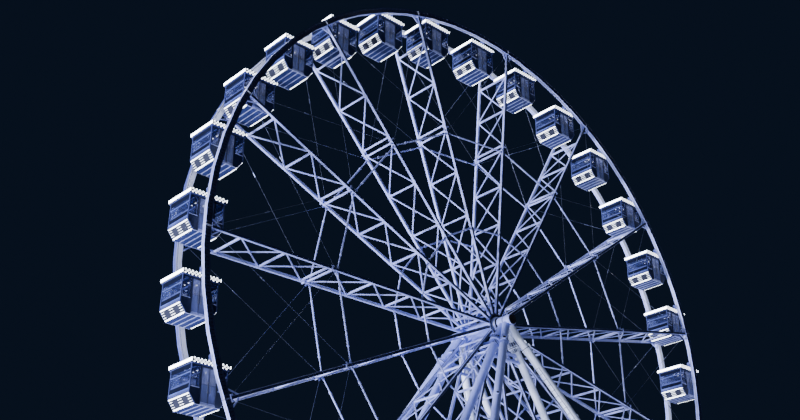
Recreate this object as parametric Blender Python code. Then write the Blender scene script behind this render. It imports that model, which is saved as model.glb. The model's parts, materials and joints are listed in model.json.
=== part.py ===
"""Travelling ferris wheel: twin-rim wheel, hanging cabins and splayed tubular legs.

Metres, +Z up. The wheel's axle runs along Y, the front faces -Y, the floor is z = 0.
"""
import bpy
import bmesh
import math
from mathutils import Vector

# seats between neighbouring pieces
GAP = 0.0003
RUNNING_GAP = 0.0005

# cabin, measured down from its pivot
HANG = 0.21
ROOF_T = 0.25
ROOF_L = 1.90
BODY_L = 1.76
BULGE = 0.03
SHOULDER_DROP = 1.69
FLOOR_DROP = 2.13
FLOOR_L = 1.20
WALL = 0.05
FLOOR_T = 0.06
EAVE = 0.11
ROOF_LAP = 0.02
LINTEL = 0.08
SIDE_POST = 0.12
FRONT_POST = 0.10
SIDE_SILL_DROP = 1.31
FRONT_SILL_DROP = 1.42
DOOR_W = 0.72
DOOR_STEP = 0.05
BRACKET_W = 0.26
BRACKET_T = 0.06
BRACKET_RISE = 0.08
BRACKET_INSET = 0.14
STUB_R = 0.045

# wheel
SPOKES = 15
CABINS_PER_SPOKE = 2
FIRST_SPOKE = math.radians(12.13)
PIVOT_R = 18.0
RIM_DEPTH = 0.30
RIM_WIDTH = 0.22
RIM_CLEAR = 2.00
CABIN_CLEARANCE = 0.09
GROUND_CLEARANCE = 0.87

# spoke truss
CHORD = 0.14
CHORD_LEAN = 0.13
STRUT = 0.09
DIAGONAL = 0.07
DIAGONAL_OFFSET = 0.06
BAY = 2.45
OUTER_BAYS = 2
FIRST_STRUT_INSET = 1.62
SPLICE_GAP = 0.33
LAST_STRUT_FROM_HUB = 0.40

# hub
HUB_BORE = 0.24
HUB_TUBE_R = 0.40
HUB_FLANGE_R = 0.60
HUB_FLANGE_T = 0.21
HUB_LIP = 0.035

# axle and its two heads
AXLE_SIDES = 16
HEAD_CLEARANCE = 0.16
HEAD_R = 0.30
HEAD_L = 0.87
AXLE_END_R = 0.26
AXLE_END_L = 0.04
ARM_R = 0.20
ARM_SEAT = 0.03
INNER_FLANGE_R = 0.33
OUTER_FLANGE_R = 0.25
ARM_FLANGE_T = 0.06
INNER_ARM_L = 1.40
OUTER_ARM_L = 1.75
OUTER_ARM_OFFSET = 0.22

# legs
LEG_SIDES = 10
FOOT_X = 11.96
INNER_FOOT_Y = 2.42
OUTER_FOOT_Y = 9.15
LEG_R = 0.205
FOOT_PLATE_R = 0.42
FOOT_PLATE_T = 0.08

# base frame
BEAM_W = 0.90
BEAM_H = 0.45
BEAM_OVERHANG = 0.60
TIE_W = 0.60
TIE_H = 0.33
TIE_LIFT = 0.02

# places that follow from the sizes above
HUB_Z = PIVOT_R + FLOOR_DROP + GROUND_CLEARANCE
CABINS = SPOKES * CABINS_PER_SPOKE
RIM_IN = PIVOT_R - RIM_DEPTH / 2
RIM_OUT = PIVOT_R + RIM_DEPTH / 2
RIM_Y_IN = RIM_CLEAR / 2
RIM_Y_OUT = RIM_Y_IN + RIM_WIDTH
CHORD_Y_RIM = RIM_Y_IN + RIM_WIDTH / 2
CHORD_Y_HUB = CHORD_Y_RIM - CHORD_LEAN
HUB_END = CHORD_Y_HUB + HUB_FLANGE_T / 2 + HUB_LIP
HEAD_Y = HUB_END + HEAD_CLEARANCE
INNER_ARM_Y = HEAD_Y + ARM_R + ARM_SEAT
OUTER_ARM_Y = INNER_ARM_Y + OUTER_ARM_OFFSET
ROOF_HALF_Y = RIM_Y_IN - CABIN_CLEARANCE
BODY_HALF_Y = ROOF_HALF_Y - EAVE
ROOF_UNDER = HANG + ROOF_T
BRACKET_Y = RIM_Y_IN - BRACKET_INSET
BEAM_X = FOOT_X * (1 - (BEAM_H + FOOT_PLATE_T) / HUB_Z)
LEG_ROWS = (
    ("inner", INNER_ARM_Y, INNER_FOOT_Y, INNER_ARM_L, INNER_FLANGE_R),
    ("outer", OUTER_ARM_Y, OUTER_FOOT_Y, OUTER_ARM_L, OUTER_FLANGE_R),
)


def clear_scene():
    for obj in list(bpy.data.objects):
        bpy.data.objects.remove(obj, do_unlink=True)


def paint(name, colour, roughness, metallic):
    mat = bpy.data.materials.new(name)
    mat.use_nodes = True
    shader = mat.node_tree.nodes["Principled BSDF"]
    shader.inputs["Base Color"].default_value = (*colour, 1.0)
    shader.inputs["Roughness"].default_value = roughness
    shader.inputs["Metallic"].default_value = metallic
    return mat


def loft(name, rings, closed=False):
    """Skin a row of rings with the same number of points; an open row gets flat ends."""
    work = bmesh.new()
    rows = []
    for ring in rings:
        rows.append([work.verts.new(p) for p in ring])
    pairs = list(zip(rows, rows[1:]))
    if closed:
        pairs.append((rows[-1], rows[0]))
    for low, high in pairs:
        for k in range(len(low)):
            n = (k + 1) % len(low)
            work.faces.new((low[k], low[n], high[n], high[k]))
    if not closed:
        work.faces.new(rows[0])
        work.faces.new(rows[-1])
    bmesh.ops.recalc_face_normals(work, faces=work.faces)
    mesh = bpy.data.meshes.new(name)
    work.to_mesh(mesh)
    work.free()
    obj = bpy.data.objects.new(name, mesh)
    bpy.context.scene.collection.objects.link(obj)
    return obj


def box(name, low, high):
    """An upright box between two corners."""
    work = bmesh.new()
    bmesh.ops.create_cube(work, size=1.0)
    size = Vector(high) - Vector(low)
    bmesh.ops.scale(work, vec=size, verts=work.verts)
    bmesh.ops.translate(work, vec=(Vector(low) + Vector(high)) / 2, verts=work.verts)
    mesh = bpy.data.meshes.new(name)
    work.to_mesh(mesh)
    work.free()
    obj = bpy.data.objects.new(name, mesh)
    bpy.context.scene.collection.objects.link(obj)
    return obj


def along_y(name, outline, y0, y1):
    """An XZ outline pushed along Y."""
    return loft(name, [[(x, y, z) for x, z in outline] for y in (y0, y1)])


def bar(name, start, end, wide, deep):
    """A square bar in the truss plane (X radial, Y axial), its depth along Z."""
    start = Vector(start)
    end = Vector(end)
    up = Vector((0.0, 0.0, 1.0))
    side = up.cross((end - start).normalized())
    rings = []
    for centre in (start, end):
        ring = []
        for a, b in ((-1, -1), (1, -1), (1, 1), (-1, 1)):
            ring.append(centre + side * (wide / 2 * a) + up * (deep / 2 * b))
        rings.append(ring)
    return loft(name, rings)


def turned(name, profile, sides, phase, closed):
    """Turn (y, radius) points about the Y axis; radii are to the flats."""
    rings = []
    for y, flat in profile:
        radius = flat / math.cos(math.pi / sides)
        ring = []
        for k in range(sides):
            a = phase + (k + 0.5) * 2 * math.pi / sides
            ring.append((radius * math.cos(a), y, radius * math.sin(a)))
        rings.append(ring)
    return loft(name, rings, closed)


def change(obj, tool, operation):
    mod = obj.modifiers.new(operation.title(), "BOOLEAN")
    mod.operation = operation
    mod.solver = "EXACT"
    mod.object = tool
    tool.hide_render = True
    tool.display_type = "WIRE"


def settle(obj):
    """Keep the mesh that the booleans give, and drop their tools."""
    bpy.context.view_layer.update()
    graph = bpy.context.evaluated_depsgraph_get()
    mesh = bpy.data.meshes.new_from_object(obj.evaluated_get(graph))
    tools = [mod.object for mod in obj.modifiers]
    for thing in tools + [obj]:
        bpy.data.objects.remove(thing, do_unlink=True)
    return mesh


def round_off(mesh):
    """Shade the round sides smooth and keep the hard edges."""
    mesh.shade_smooth()
    mesh.set_sharp_from_angle(angle=math.radians(40.0))


def place(name, mesh, material, location=(0.0, 0.0, 0.0), parent=None):
    if not mesh.materials:
        mesh.materials.append(material)
    obj = bpy.data.objects.new(name, mesh)
    obj.location = location
    obj.parent = parent
    bpy.context.scene.collection.objects.link(obj)
    return obj


def finish(obj, material, location=(0.0, 0.0, 0.0), parent=None):
    obj.data.materials.append(material)
    obj.location = location
    obj.parent = parent
    return obj


def marker(name, location):
    empty = bpy.data.objects.new(name, None)
    empty.location = location
    bpy.context.scene.collection.objects.link(empty)
    return empty


def chord_y(radius):
    """The chords stand further apart at the rim than at the hub."""
    share = (radius - HUB_FLANGE_R) / (RIM_IN - HUB_FLANGE_R)
    return CHORD_Y_HUB + CHORD_LEAN * share


def strut_radii():
    """Struts from the rim inwards, doubled where the spoke is spliced."""
    radii = []
    radius = RIM_IN - FIRST_STRUT_INSET
    steps = [BAY] * OUTER_BAYS + [SPLICE_GAP]
    while radius > HUB_FLANGE_R + LAST_STRUT_FROM_HUB:
        radii.append(radius)
        radius -= steps.pop(0) if steps else BAY
    return radii


def spoke_mesh():
    """One truss along +X, ending on the hub's flange faces and the rims' inner faces."""
    chords = []
    half = CHORD / 2
    for side in (-1, 1):
        rings = []
        for radius in (HUB_FLANGE_R + GAP, RIM_IN - GAP):
            y = side * chord_y(radius)
            ring = []
            for a, b in ((-1, -1), (1, -1), (1, 1), (-1, 1)):
                ring.append((radius, y + half * a, half * b))
            rings.append(ring)
        chords.append(loft("chord", rings))
    truss = chords[0]
    change(truss, chords[1], "UNION")
    radii = strut_radii()
    for radius in radii:
        y = chord_y(radius)
        change(truss, bar("strut", (radius, -y, 0), (radius, y, 0), STRUT, STRUT), "UNION")
    side = -1
    for far, near in zip(radii, radii[1:]):
        if far - near > BAY / 2:
            start = (near + DIAGONAL_OFFSET, side * chord_y(near), 0)
            end = (far - DIAGONAL_OFFSET, -side * chord_y(far), 0)
            change(truss, bar("diagonal", start, end, DIAGONAL, DIAGONAL), "UNION")
            side = -side
    return settle(truss)


def cabin_outline(inset, top, floor):
    """The cabin's cross-section: upright sides that turn in below the shoulder."""
    upper = BODY_L / 2 - inset
    wide = upper + BULGE
    low = FLOOR_L / 2 - inset / 2
    shoulder = -SHOULDER_DROP
    return ((-upper, top), (upper, top), (wide, shoulder), (low, floor), (-low, floor), (-wide, shoulder))


def cabin_mesh():
    """One cabin hung from the point (0, 0, 0)."""
    top = -ROOF_UNDER
    body = along_y("body", cabin_outline(0.0, top + ROOF_LAP, -FLOOR_DROP), -BODY_HALF_Y, BODY_HALF_Y)
    room_y = BODY_HALF_Y - WALL
    floor = -FLOOR_DROP + FLOOR_T
    room = along_y("room", cabin_outline(WALL, top + 2 * ROOF_LAP, floor), -room_y, room_y)
    change(body, room, "DIFFERENCE")
    head = top - LINTEL
    through_x = BODY_L
    through_y = 2 * BODY_HALF_Y
    side_half = BODY_HALF_Y - SIDE_POST
    front_half = BODY_L / 2 - FRONT_POST
    cuts = (
        (through_x, side_half, -SIDE_SILL_DROP),
        (front_half, through_y, -FRONT_SILL_DROP),
        (DOOR_W / 2, through_y, floor + DOOR_STEP),
    )
    for half_x, half_y, sill in cuts:
        change(body, box("cut", (-half_x, -half_y, sill), (half_x, half_y, head)), "DIFFERENCE")
    roof = box("roof", (-ROOF_L / 2, -ROOF_HALF_Y, top), (ROOF_L / 2, ROOF_HALF_Y, -HANG))
    change(body, roof, "UNION")
    ring = []
    for k in range(6):
        a = (k + 0.5) * math.pi / 3
        ring.append((STUB_R * math.cos(a), STUB_R * math.sin(a)))
    for side in (-1, 1):
        faces = sorted((side * (BRACKET_Y - BRACKET_T), side * BRACKET_Y))
        low = (-BRACKET_W / 2, faces[0], -HANG - ROOF_T / 5)
        high = (BRACKET_W / 2, faces[1], BRACKET_RISE)
        change(body, box("bracket", low, high), "UNION")
        middle = side * (BRACKET_Y - BRACKET_T / 2)
        change(body, along_y("stub", ring, middle, side * (RIM_Y_IN - GAP)), "UNION")
    return settle(body)


def leg_axis(side_x, side_y, arm_y, foot_y):
    """The point on the axle, the point on the floor and the way down between them."""
    top = Vector((0.0, side_y * arm_y, HUB_Z))
    foot = Vector((side_x * FOOT_X, side_y * foot_y, 0.0))
    return top, foot, (foot - top).normalized()


def ring_around(centre, axis, radius):
    """Points on a circle square to the axis."""
    along = Vector((0.0, 1.0, 0.0))
    first = (along - axis * along.dot(axis)).normalized()
    second = axis.cross(first)
    ring = []
    for k in range(LEG_SIDES):
        a = 2 * math.pi * k / LEG_SIDES
        ring.append(centre + first * (radius * math.cos(a)) + second * (radius * math.sin(a)))
    return ring


def leg(name, side_x, side_y, arm_y, foot_y, arm_l, flange_r):
    """A tube from the head's flange to a round plate on the base beam."""
    top, foot, axis = leg_axis(side_x, side_y, arm_y, foot_y)
    stations = (
        (arm_l, flange_r),
        (arm_l + ARM_FLANGE_T, flange_r),
        (arm_l + ARM_FLANGE_T, LEG_R),
    )
    rings = []
    for distance, radius in stations:
        rings.append(ring_around(top + axis * distance - foot, axis, radius))
    seat = BEAM_H + GAP
    plate_top = seat + FOOT_PLATE_T
    down = Vector((0.0, 0.0, -1.0))
    centre = axis * (plate_top / axis.z)
    for z, radius in ((plate_top, LEG_R), (plate_top, FOOT_PLATE_R), (seat, FOOT_PLATE_R)):
        rings.append(ring_around(Vector((centre.x, centre.y, z)), down, radius))
    obj = loft(name, rings)
    round_off(obj.data)
    return obj, foot


def head_arm(side_x, side_y, arm_y, foot_y, arm_l, flange_r):
    """A short arm on the head with the flange that the leg bolts to."""
    top, foot, axis = leg_axis(side_x, side_y, arm_y, foot_y)
    hub = Vector((0.0, 0.0, HUB_Z))
    stations = (
        (ARM_R, ARM_R),
        (arm_l - ARM_FLANGE_T, ARM_R),
        (arm_l - ARM_FLANGE_T, flange_r),
        (arm_l - GAP, flange_r),
    )
    return loft("arm", [ring_around(top + axis * d - hub, axis, r) for d, r in stations])


def rim(name, side):
    """A ring of straight box lengths; a flat faces each spoke and each cabin."""
    y0 = side * RIM_Y_IN
    y1 = side * RIM_Y_OUT
    profile = ((y0, RIM_IN), (y1, RIM_IN), (y1, RIM_OUT), (y0, RIM_OUT))
    return turned(name, profile, 2 * CABINS, FIRST_SPOKE, True)


def hub(name):
    flange = (CHORD_Y_HUB - HUB_FLANGE_T / 2, CHORD_Y_HUB + HUB_FLANGE_T / 2)
    steps = (
        (HUB_END, HUB_BORE), (HUB_END, HUB_TUBE_R), (flange[1], HUB_TUBE_R), (flange[1], HUB_FLANGE_R),
        (flange[0], HUB_FLANGE_R), (flange[0], HUB_TUBE_R),
    )
    profile = [(-y, r) for y, r in steps] + [(y, r) for y, r in reversed(steps)]
    return turned(name, profile, SPOKES, FIRST_SPOKE, True)


def axle(name):
    """The fixed axle, a bearing housing at each end and the arms for the legs."""
    corner = math.cos(math.pi / AXLE_SIDES)
    axle_flat = (HUB_BORE - RUNNING_GAP) * corner
    out = HEAD_Y + HEAD_L
    end = out + AXLE_END_L
    steps = ((end, AXLE_END_R), (out, AXLE_END_R), (out, HEAD_R), (HEAD_Y, HEAD_R), (HEAD_Y, axle_flat))
    profile = [(-y, r) for y, r in steps] + [(y, r) for y, r in reversed(steps)]
    obj = turned(name, profile, AXLE_SIDES, 0.0, False)
    for side_y in (-1, 1):
        for side_x in (-1, 1):
            for row, arm_y, foot_y, arm_l, flange_r in LEG_ROWS:
                change(obj, head_arm(side_x, side_y, arm_y, foot_y, arm_l, flange_r), "UNION")
    return settle(obj)


def base_mesh():
    """Two ground beams under the foot plates, tied under the wheel."""
    inner = BEAM_X - BEAM_W / 2
    outer = BEAM_X + BEAM_W / 2
    long_y = OUTER_FOOT_Y + BEAM_OVERHANG
    left = box("left_beam", (-outer, -long_y, 0.0), (-inner, long_y, BEAM_H))
    right = box("right_beam", (inner, -long_y, 0.0), (outer, long_y, BEAM_H))
    reach = BEAM_X - BEAM_W / 4
    tie = box("tie_beam", (-reach, -TIE_W / 2, TIE_LIFT), (reach, TIE_W / 2, TIE_LIFT + TIE_H))
    change(left, tie, "UNION")
    change(left, right, "UNION")
    return settle(left)


def build():
    clear_scene()
    leg_paint = paint("leg_paint", (0.80, 0.81, 0.84), 0.35, 0.0)
    head_paint = paint("head_paint", (0.72, 0.74, 0.80), 0.40, 0.0)
    base_paint = paint("base_paint", (0.50, 0.52, 0.56), 0.55, 0.0)
    hub_paint = paint("hub_paint", (0.72, 0.74, 0.80), 0.40, 0.0)
    rim_paint = paint("rim_paint", (0.74, 0.76, 0.83), 0.40, 0.0)
    spoke_paint = paint("spoke_paint", (0.74, 0.76, 0.83), 0.40, 0.0)
    cabin_paint = paint("cabin_paint", (0.78, 0.79, 0.82), 0.30, 0.0)

    place("base_frame", base_mesh(), base_paint)
    heads = axle("axle_and_heads")
    round_off(heads)
    place("axle_and_heads", heads, head_paint, (0.0, 0.0, HUB_Z))
    for side_y, face in ((-1, "front"), (1, "rear")):
        for side_x, hand in ((-1, "left"), (1, "right")):
            for row, arm_y, foot_y, arm_l, flange_r in LEG_ROWS:
                name = face + "_" + row + "_" + hand + "_leg"
                obj, foot = leg(name, side_x, side_y, arm_y, foot_y, arm_l, flange_r)
                finish(obj, leg_paint, foot)

    wheel = marker("wheel_axis", (0.0, 0.0, HUB_Z))
    finish(hub("hub"), hub_paint, parent=wheel)
    finish(rim("front_rim", -1), rim_paint, parent=wheel)
    finish(rim("rear_rim", 1), rim_paint, parent=wheel)
    truss = spoke_mesh()
    for k in range(SPOKES):
        obj = place("spoke_%02d" % (k + 1), truss, spoke_paint, parent=wheel)
        obj.rotation_euler = (0.0, -(FIRST_SPOKE + k * 2 * math.pi / SPOKES), 0.0)
    cabin = cabin_mesh()
    for k in range(CABINS):
        a = FIRST_SPOKE + (k + 0.5) * 2 * math.pi / CABINS
        pivot = (PIVOT_R * math.cos(a), 0.0, PIVOT_R * math.sin(a))
        place("cabin_%02d" % (k + 1), cabin, cabin_paint, pivot, wheel)
    bpy.context.view_layer.update()


build()
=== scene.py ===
"""Looks of a travelling ferris wheel: paint, lamps, glass and fine steelwork.

Metres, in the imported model's frame: the axle runs along Y and the front faces -Y.
"""
import json
import math

import bmesh
import bpy
from mathutils import Matrix, Vector

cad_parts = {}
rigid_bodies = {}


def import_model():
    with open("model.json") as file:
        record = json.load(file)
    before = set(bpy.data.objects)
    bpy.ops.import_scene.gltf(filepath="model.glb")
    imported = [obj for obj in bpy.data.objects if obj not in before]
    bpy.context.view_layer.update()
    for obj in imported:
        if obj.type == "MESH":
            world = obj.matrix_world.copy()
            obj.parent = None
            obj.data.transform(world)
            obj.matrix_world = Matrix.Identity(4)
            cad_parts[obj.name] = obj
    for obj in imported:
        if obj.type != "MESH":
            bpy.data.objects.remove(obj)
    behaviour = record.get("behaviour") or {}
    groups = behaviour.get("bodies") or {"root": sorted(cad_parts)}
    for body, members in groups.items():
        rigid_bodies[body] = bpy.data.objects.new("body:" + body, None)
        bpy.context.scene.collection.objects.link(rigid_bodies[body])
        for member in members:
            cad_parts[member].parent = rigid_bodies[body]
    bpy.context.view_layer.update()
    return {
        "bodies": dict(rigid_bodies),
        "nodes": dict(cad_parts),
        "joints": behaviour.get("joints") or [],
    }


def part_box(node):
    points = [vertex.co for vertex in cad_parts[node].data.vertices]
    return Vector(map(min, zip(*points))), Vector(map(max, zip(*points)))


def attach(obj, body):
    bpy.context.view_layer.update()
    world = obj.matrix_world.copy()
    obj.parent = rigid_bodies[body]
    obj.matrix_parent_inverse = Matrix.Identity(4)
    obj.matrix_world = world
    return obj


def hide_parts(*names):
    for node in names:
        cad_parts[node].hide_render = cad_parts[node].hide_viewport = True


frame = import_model()

PIVOTS = {j["child"]: Vector(j["pos_m"]) for j in frame["joints"]}
HUB = PIVOTS["wheel"]
CABINS = sorted(name for name in frame["bodies"] if name.startswith("cabin_"))
SPOKE_NODES = sorted(name for name in frame["nodes"] if name.startswith("spoke_"))
SPOKES = len(SPOKE_NODES)
Y = Vector((0.0, 1.0, 0.0))
Z = Vector((0.0, 0.0, 1.0))

# wheel
FIRST_SPOKE = math.radians(12.13)
SPOKE_STEP = 2 * math.pi / SPOKES
FACETS_PER_SPOKE = 4
FACETS = FACETS_PER_SPOKE * SPOKES
FACET = 2 * math.pi / FACETS
RIM_IN = 17.85
RIM_OUT = 18.15
RIM_Y_IN = -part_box("front_rim")[1].y
RIM_Y_OUT = -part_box("front_rim")[0].y
RIM_LIP = 0.03
RIM_RECESS = 0.015
RIM_GROOVE = 0.012
JOINT_HALF = 0.040
JOINT_PLATE = 0.022
JOINT_INSET = 0.02
LAMP_SPACING = 0.30
LAMP_R = 0.020
LAMP_H = 0.012
LAMP_ROW_R = 18.085
FIRST_LAMP = 0.3
LAMPLESS = 0.4
BAR_W = 0.035
BAR_T = 0.008
BEARING_R = 0.115

# spoke truss
CHORD = 0.14
CHORD_Y_RIM = (RIM_Y_IN + RIM_Y_OUT) / 2
CHORD_Y_HUB = CHORD_Y_RIM - 0.13
HUB_FLANGE_R = 0.60
STRUT = 0.09
DIAGONAL = 0.07
DIAGONAL_DEEP = 0.05
DIAGONAL_OFFSET = 0.06
BAY = 2.45
OUTER_BAYS = 2
FIRST_STRUT_INSET = 1.62
SPLICE_GAP = 0.33
SPLICE_HALF = 0.115
SPLICE_PLATE = 0.030
SPLICE_SEAM = 0.004
LAST_STRUT_FROM_HUB = 0.40
STRIP_W = 0.122
STRIP_T = 0.012
DUCT_R = 0.016
GUSSET = ((-0.15, 0.0), (0.15, 0.0), (0.12, 0.4), (0.05, 1.0), (-0.05, 1.0), (-0.12, 0.4))
GUSSET_DEPTH = 0.14
GUSSET_T = 0.016
CROSS_PLATE_R = 0.06
CROSS_PLATE_HALF = 0.056
END_PLATE_T = 0.03
END_PLATE_Y = 0.14
END_PLATE_Z = 0.15
END_BOLT_AT = 0.11
KNEE_R = 17.33
KNEE_REACH = 0.42
KNEE = 0.06
TIE_RADII = (10.8, 5.35)
TIE_R = 0.044
TIE_END_R = 0.030
TIE_STEP_AT = 0.17
TIE_COLLAR = 0.014
FORK_L = 0.16
ROD_R = 0.009
ROD_OUTER = 17.76
ROD_INNER = 10.93
ROD_APART = 0.03
TURNBUCKLE_AT = 0.36
TURNBUCKLE_HALF = 0.14
TURNBUCKLE_R = 0.024

# hub and heads
HUB_TUBE_R = 0.40
HUB_BORE = 0.24
HUB_FLANGE_T = 0.21
HUB_RECESS_R = 0.50
HUB_RECESS = 0.09
HUB_EDGE = 0.012
HUB_END = CHORD_Y_HUB + HUB_FLANGE_T / 2 + 0.035
HEAD_Y = HUB_END + 0.16
HEAD_R = 0.30
HEAD_L = 0.87
HEAD_GROOVE = 0.42
AXLE_END_R = 0.26
AXLE_END_L = 0.04
ARM_R = 0.20
INNER_FLANGE_R = 0.33
OUTER_FLANGE_R = 0.25
ARM_FLANGE_T = 0.06
INNER_ARM_Y = HEAD_Y + ARM_R + 0.03
OUTER_ARM_Y = INNER_ARM_Y + 0.22
INNER_ARM_L = 1.40
OUTER_ARM_L = 1.75
PIN_AT = 1.69
PIN_R = 0.115
LUG_L = 0.09

# legs and base
FOOT_X = 11.96
INNER_FOOT_Y = 2.42
OUTER_FOOT_Y = 9.15
LEG_SIDES = 30
LEG_R = 0.205
LEG_HOLE_AT = 5.97
FIRST_WELD = 2.2
WELDS_FROM_JOINT = (-3.4, 3.0)
LEG_FLANGE = 0.10
FOOT_PLATE_R = 0.42
FOOT_PLATE_T = 0.08
BEAM_H = 0.45
BEAM_W = 0.90
CROSSBAR_Z = (19.30, 18.95)
CROSSBAR_R = 0.085
WEB_X = (-0.6, -0.2, 0.2, 0.6)
RUNG_PITCH = 0.34
RUNG_HALF = 0.17
LADDER_OFF = 0.13
TIE_BEAM_Z = 0.02
TIE_BEAM_W = 0.60
TIE_BEAM_H = 0.33
LEG_ROWS = (("inner", INNER_ARM_Y, INNER_FOOT_Y, INNER_ARM_L, INNER_FLANGE_R),
            ("outer", OUTER_ARM_Y, OUTER_FOOT_Y, OUTER_ARM_L, OUTER_FLANGE_R))

# cabin, measured from its pivot; heights are below it
HANG = 0.21
ROOF_T = 0.25
ROOF_X = 0.95
ROOF_Y = 0.91
FASCIA = 0.03
BODY_X = 0.88
BODY_Y = 0.80
SHOULDER_X = 0.91
SHOULDER_Z = -1.69
FLOOR_X = 0.60
FLOOR_Z = -2.13
ROOF_UNDER = -(HANG + ROOF_T)
LINTEL = 0.08
SIDE_LINTEL = 0.20
GLAZING_Z = -0.84
LINTEL_TRIM = 0.035
BAND_HALF = 0.076
BAND_LIFT = 0.016
SIDE_SILL_Z = -1.31
FRONT_SILL_Z = -1.42
DOOR_HALF = 0.36
POST = 0.05
BETWEEN_POSTS = BODY_Y - POST
BAND_Z = -1.50
STRIP_Z = -1.56
JAMB = 0.07
DOTS = 10
DOT_ROWS = 3
DOT_PITCH = 0.172
DOT_R = 0.040
BEAD_PITCH = 0.13
LINE_R = 0.028
FIRST_LINE = 0.045
LAST_LINE = 0.050
SQUARE_CLEAR = 0.05
DASHES = 3
DASH_R = 0.022
MIDDLE_DASH = 0.155
SIDE_DASH = 0.105
SQUARE_AT = 0.353
SQUARE_HALF = 0.190
GROOVE = 0.088
BATTEN = 0.034
DOOR_RAIL_Z = -1.24
STILE = 0.024
GRAB_RAILS_Z = (-0.98, -1.22)
SEAT_Z = -1.62
SEAT_END = 0.70
PULL_BAR_X = 0.065
PULL_BAR_Z = (-1.60, -1.12)
PULL_BAR_OUT = BODY_Y + 0.035
BOARDS = 4
HANGER_IN = 0.80
HANGER_OUT = 0.86
HANGER_R = 0.13
SHAFT_GAP = 0.0005

# studio and camera
NIGHT = (0.0040, 0.0076, 0.0175, 1.0)
FLOOR_R = 160.0
LENS = 49.89
CAMERA_PLACE = (-40.565, -38.209, 0.532)
CAMERA_TILT = math.radians(116.39)
CAMERA_TURN = math.radians(-42.21)

MATERIALS = {}


# finishes

def add_node(mat, kind, **constants):
    """A new shader node with constants set on its sockets; an underscore stands for a space."""
    node = mat.node_tree.nodes.new("ShaderNode" + kind)
    for socket, value in constants.items():
        node.inputs[socket.replace("_", " ")].default_value = value
    return node


def finish(name, light, dark, roughness, metallic=0.0, patch=0.5, grain=45.0, bump=0.08, coat=0.0,
           streaks=0.35):
    """A painted or plain surface: two tones in soft patches, faint run marks and a fine grain."""
    mat = bpy.data.materials.new(name)
    mat.use_nodes = True
    link = mat.node_tree.links.new
    shader = mat.node_tree.nodes["Principled BSDF"]
    place = add_node(mat, "TexCoord").outputs["Object"]
    wide = add_node(mat, "TexNoise", Scale=patch, Detail=6.0, Roughness=0.65)
    link(place, wide.inputs["Vector"])
    squeeze = add_node(mat, "Mapping", Scale=(9.0, 9.0, 0.7))
    link(place, squeeze.inputs["Vector"])
    runs = add_node(mat, "TexNoise", Scale=1.6, Detail=4.0)
    link(squeeze.outputs["Vector"], runs.inputs["Vector"])
    ramp = add_node(mat, "ValToRGB")
    ramp.color_ramp.elements[0].position = 0.36
    ramp.color_ramp.elements[0].color = (*dark, 1.0)
    ramp.color_ramp.elements[1].position = 0.62
    ramp.color_ramp.elements[1].color = (*light, 1.0)
    link(wide.outputs["Fac"], ramp.inputs["Fac"])
    marks = add_node(mat, "MapRange", From_Min=0.58, From_Max=0.74, To_Max=streaks)
    link(runs.outputs["Fac"], marks.inputs["Value"])
    soil = add_node(mat, "Mix")
    soil.data_type = "RGBA"
    soil.inputs["B"].default_value = (dark[0] * 0.6, dark[1] * 0.6, dark[2] * 0.62, 1.0)
    link(marks.outputs["Result"], soil.inputs["Factor"])
    link(ramp.outputs["Color"], soil.inputs["A"])
    link(soil.outputs["Result"], shader.inputs["Base Color"])
    fine = add_node(mat, "TexNoise", Scale=grain, Detail=3.0)
    link(place, fine.inputs["Vector"])
    gloss = add_node(mat, "MapRange", To_Min=max(0.02, roughness - 0.10), To_Max=min(1.0, roughness + 0.14))
    link(wide.outputs["Fac"], gloss.inputs["Value"])
    link(gloss.outputs["Result"], shader.inputs["Roughness"])
    relief = add_node(mat, "Bump", Strength=bump, Distance=0.004)
    link(fine.outputs["Fac"], relief.inputs["Height"])
    link(relief.outputs["Normal"], shader.inputs["Normal"])
    shader.inputs["Metallic"].default_value = metallic
    shader.inputs["Coat Weight"].default_value = coat
    MATERIALS[name] = mat
    return mat


def lamp_finish(name, light, edge, strength):
    """A lit diffuser, a little uneven along its length."""
    mat = finish(name, light, edge, 0.25, patch=7.0, bump=0.02, streaks=0.0)
    link = mat.node_tree.links.new
    shader = mat.node_tree.nodes["Principled BSDF"]
    place = add_node(mat, "TexCoord")
    cells = add_node(mat, "TexVoronoi", Scale=16.0)
    link(place.outputs["Object"], cells.inputs["Vector"])
    ramp = add_node(mat, "ValToRGB")
    ramp.color_ramp.elements[0].color = (*light, 1.0)
    ramp.color_ramp.elements[1].color = (*edge, 1.0)
    link(cells.outputs["Distance"], ramp.inputs["Fac"])
    link(ramp.outputs["Color"], shader.inputs["Emission Color"])
    shader.inputs["Emission Strength"].default_value = strength


def glass_finish(name, tint, roughness, transmission, cover):
    """Tinted pane with faint smears; cover is the share of light that meets the glass at all."""
    mat = finish(name, tint, tuple(0.86 * c for c in tint), roughness, patch=1.5, bump=0.01, streaks=0.25)
    shader = mat.node_tree.nodes["Principled BSDF"]
    shader.inputs["Transmission Weight"].default_value = transmission
    shader.inputs["IOR"].default_value = 1.45
    shader.inputs["Alpha"].default_value = cover


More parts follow.
